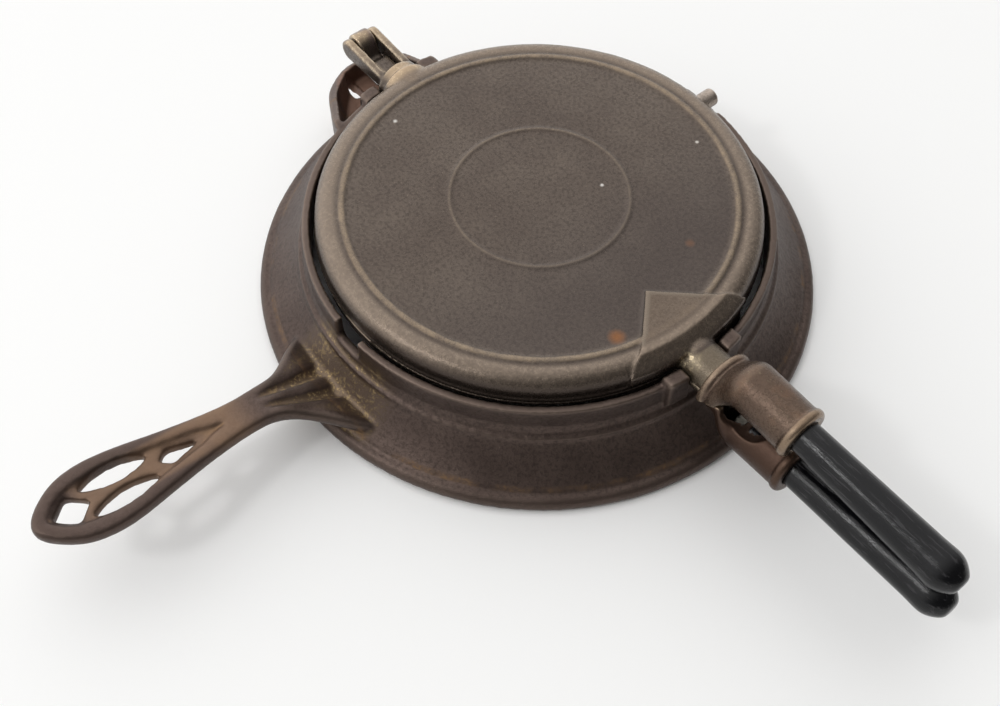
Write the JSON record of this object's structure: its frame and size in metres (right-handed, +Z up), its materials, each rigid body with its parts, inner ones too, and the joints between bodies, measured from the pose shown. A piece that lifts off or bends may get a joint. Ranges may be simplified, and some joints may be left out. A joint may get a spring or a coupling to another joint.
{
  "type": "stovetop waffle iron",
  "caption": "Low cast-iron ring base with side handle carrying a hinged pair of round waffle paddles that flip on trunnions; black wooden grips.",
  "frame": {"origin": "centre of the base ring in the plane of its bottom edge", "axes": "+X along the trunnion axis towards the paddle grips (the hinge is at -X), -Y along the base handle, +Z up"},
  "size_m": [0.3628, 0.359, 0.06],
  "materials": {
    "ring_iron": "dark seasoned cast iron, slightly rusty in the lip groove",
    "handle_iron": "brown seasoned cast iron, golden grime at the root",
    "paddle_iron": "grey-brown cast iron, worn pale on the rim",
    "socket_iron": "brown cast iron with light rust",
    "steel": "plain steel, darkened",
    "grip_paint": "turned wood under worn glossy black paint"
  },
  "bodies": {
    "base": {"base_ring": "ring_iron", "base_handle": "handle_iron", "hinge_pocket": "ring_iron"},
    "lower_iron": {"lower_paddle": "paddle_iron", "lower_waffle_grid": "paddle_iron", "lower_handle_socket": "socket_iron", "lower_grip": "grip_paint", "lower_grip_rod": "steel", "lower_grip_rod_nut": "steel", "lower_neck_stud": "steel", "lower_neck_stud_nut": "steel", "lower_hinge_finger": "paddle_iron", "hinge_pin": "steel"},
    "upper_iron": {"upper_paddle": "paddle_iron", "upper_waffle_grid": "paddle_iron", "upper_handle_socket": "socket_iron", "upper_grip": "grip_paint", "upper_grip_rod": "steel", "upper_grip_rod_nut": "steel", "upper_neck_stud": "steel", "upper_neck_stud_nut": "steel", "upper_hinge_fork": "paddle_iron", "stop_peg": "socket_iron"}
  },
  "joints": [
    {"name": "paddles_flip", "type": "hinge", "parent": "base", "child": "lower_iron", "pos_m": [0, 0, 0.037], "axis": [1, 0, 0], "range_deg": [0, 180]},
    {"name": "lid_open", "type": "hinge", "parent": "lower_iron", "child": "upper_iron", "pos_m": [-0.1265, 0, 0.0415], "axis": [0, -1, 0], "range_deg": [0, 95]}
  ]
}
